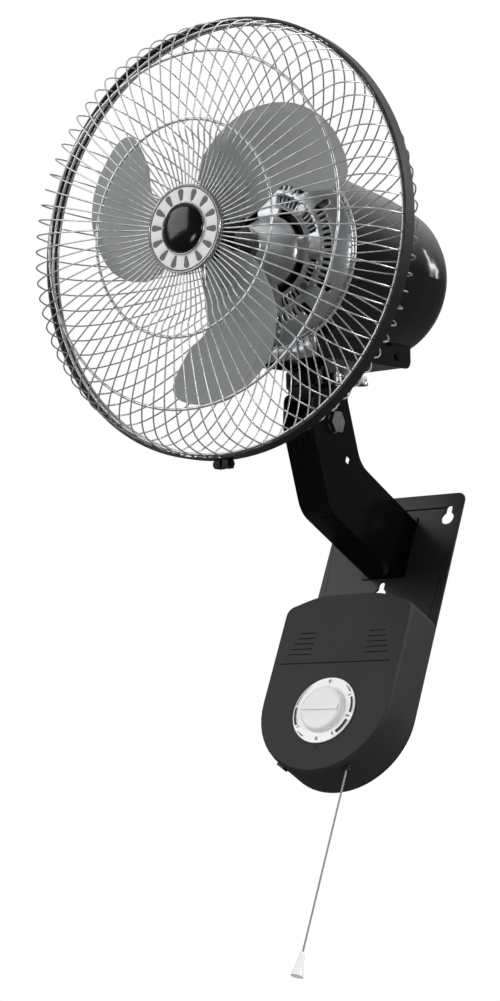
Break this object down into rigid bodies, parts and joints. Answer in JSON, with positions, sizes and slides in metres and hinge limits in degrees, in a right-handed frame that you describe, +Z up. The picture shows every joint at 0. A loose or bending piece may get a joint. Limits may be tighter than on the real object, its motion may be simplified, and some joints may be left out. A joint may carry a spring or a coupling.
{
  "type": "wall mounted fan",
  "caption": "Wall mounted fan with a wire guard, grey blades, a tilting and swinging head, a bent black arm and a pull-cord control box.",
  "frame": {"origin": "on the wall plate's back face, midway between the two upper keyholes", "axes": "+X to the viewer's right, +Y into the wall, +Z up"},
  "size_m": [0.45, 0.5462, 0.8486],
  "materials": {
    "black_paint": "gloss",
    "plate_paint": "satin",
    "box_plastic": "matte",
    "cover_paint": "gloss",
    "zinc": "satin",
    "chrome": "polished",
    "cast_alloy": "satin",
    "lamination": "satin",
    "copper": "satin",
    "bronze": "satin",
    "guide_plastic": "matte",
    "white_plastic": "gloss",
    "knob_plastic": "satin",
    "cord_fibre": "matte",
    "blade_paint": "satin",
    "badge_silver": "satin",
    "badge_black": "gloss",
    "band_paint": "satin"
  },
  "bodies": {
    "wall": {"wall_plate": "plate_paint", "arm_bracket": "black_paint", "arm_foot": "black_paint", "tilt_bolt": "chrome", "tilt_nut": "chrome", "tilt_washers": "zinc", "box_cover": "box_plastic", "box_screws": "zinc", "switch_body": "guide_plastic", "terminal_block": "white_plastic", "run_capacitor": "lamination", "cord_grommet": "guide_plastic", "mains_gland": "guide_plastic"},
    "dial": {"number_dial": "white_plastic", "dial_knob": "knob_plastic"},
    "pull": {"pull_wire": "zinc", "pull_cord": "cord_fibre", "cord_bell": "white_plastic"},
    "ratchet": {"ratchet_lever": "zinc"},
    "neck": {"neck_bracket": "black_paint", "neck_spacer": "zinc", "pivot_socket": "black_paint", "pivot_shaft": "zinc", "thrust_washer": "bronze", "link_post": "zinc"},
    "link": {"swing_link": "zinc"},
    "crank": {"crank_disc": "white_plastic"},
    "head": {"swing_motor": "lamination", "head_base": "black_paint", "front_shield": "cast_alloy", "rear_shield": "cast_alloy", "stator_core": "lamination", "stator_windings": "copper", "motor_bolts": "zinc", "front_bushing": "bronze", "rear_bushing": "bronze", "foot_screw": "chrome", "rear_cover": "cover_paint", "cover_screws": "black_paint", "rear_guard_wires": "chrome", "rear_guard_rings": "chrome", "guard_clips": "zinc", "front_guard_wires": "chrome", "front_guard_rings": "chrome", "guard_band": "band_paint", "band_clamp": "guide_plastic", "band_screw": "black_paint", "badge_plate": "badge_silver", "badge_rim": "chrome", "badge_cap": "badge_black", "badge_backing": "zinc"},
    "fan": {"motor_shaft": "zinc", "rotor_core": "lamination", "blade_hub": "guide_plastic", "hub_spider": "guide_plastic", "blades": "blade_paint", "blade_rivets": "zinc", "hub_nut": "zinc"}
  },
  "joints": [
    {"name": "neck_tilt", "type": "hinge", "parent": "wall", "child": "neck", "pos_m": [0, -0.1825, 0.0175], "axis": [1, 0, 0], "range_deg": [-26, 14]},
    {"name": "head_swing", "type": "hinge", "parent": "neck", "child": "head", "pos_m": [0, -0.21115, 0.06027], "axis": [0, -0.4384, 0.8988], "range_deg": [-40, 40]},
    {"name": "link_swing", "type": "hinge", "parent": "neck", "child": "link", "pos_m": [0.028, -0.20992, 0.05775], "axis": [0, -0.4384, 0.8988], "range_deg": [-36, 36]},
    {"name": "crank_turn", "type": "hinge", "parent": "head", "child": "crank", "pos_m": [0, -0.15492, 0.09326], "axis": [0, -0.4384, 0.8988], "range_deg": [-92, 92]},
    {"name": "blade_spin", "type": "hinge", "parent": "head", "child": "fan", "pos_m": [0, -0.41205, 0.09579], "axis": [0, -0.8988, -0.4384], "continuous": true},
    {"name": "dial_turn", "type": "hinge", "parent": "wall", "child": "dial", "pos_m": [0.0025, -0.0555, -0.258], "axis": [0, -1, 0], "continuous": true},
    {"name": "cord_pull", "type": "slide", "parent": "wall", "child": "pull", "axis": [0, 0, -1], "range_m": [0, 0.011], "stiffness_N_per_m": 150, "springref_m": -0.01},
    {"name": "lever_swing", "type": "hinge", "parent": "wall", "child": "ratchet", "pos_m": [0.0025, -0.0262, -0.258], "axis": [0, 1, 0], "range_deg": [0, 46]}
  ],
  "couplings": [
    {"joint": "crank_turn", "follows": "head_swing", "ratio": -2.25},
    {"joint": "link_swing", "follows": "head_swing", "ratio": 0.875},
    {"joint": "lever_swing", "follows": "cord_pull", "rad_per_m": 71.4}
  ]
}
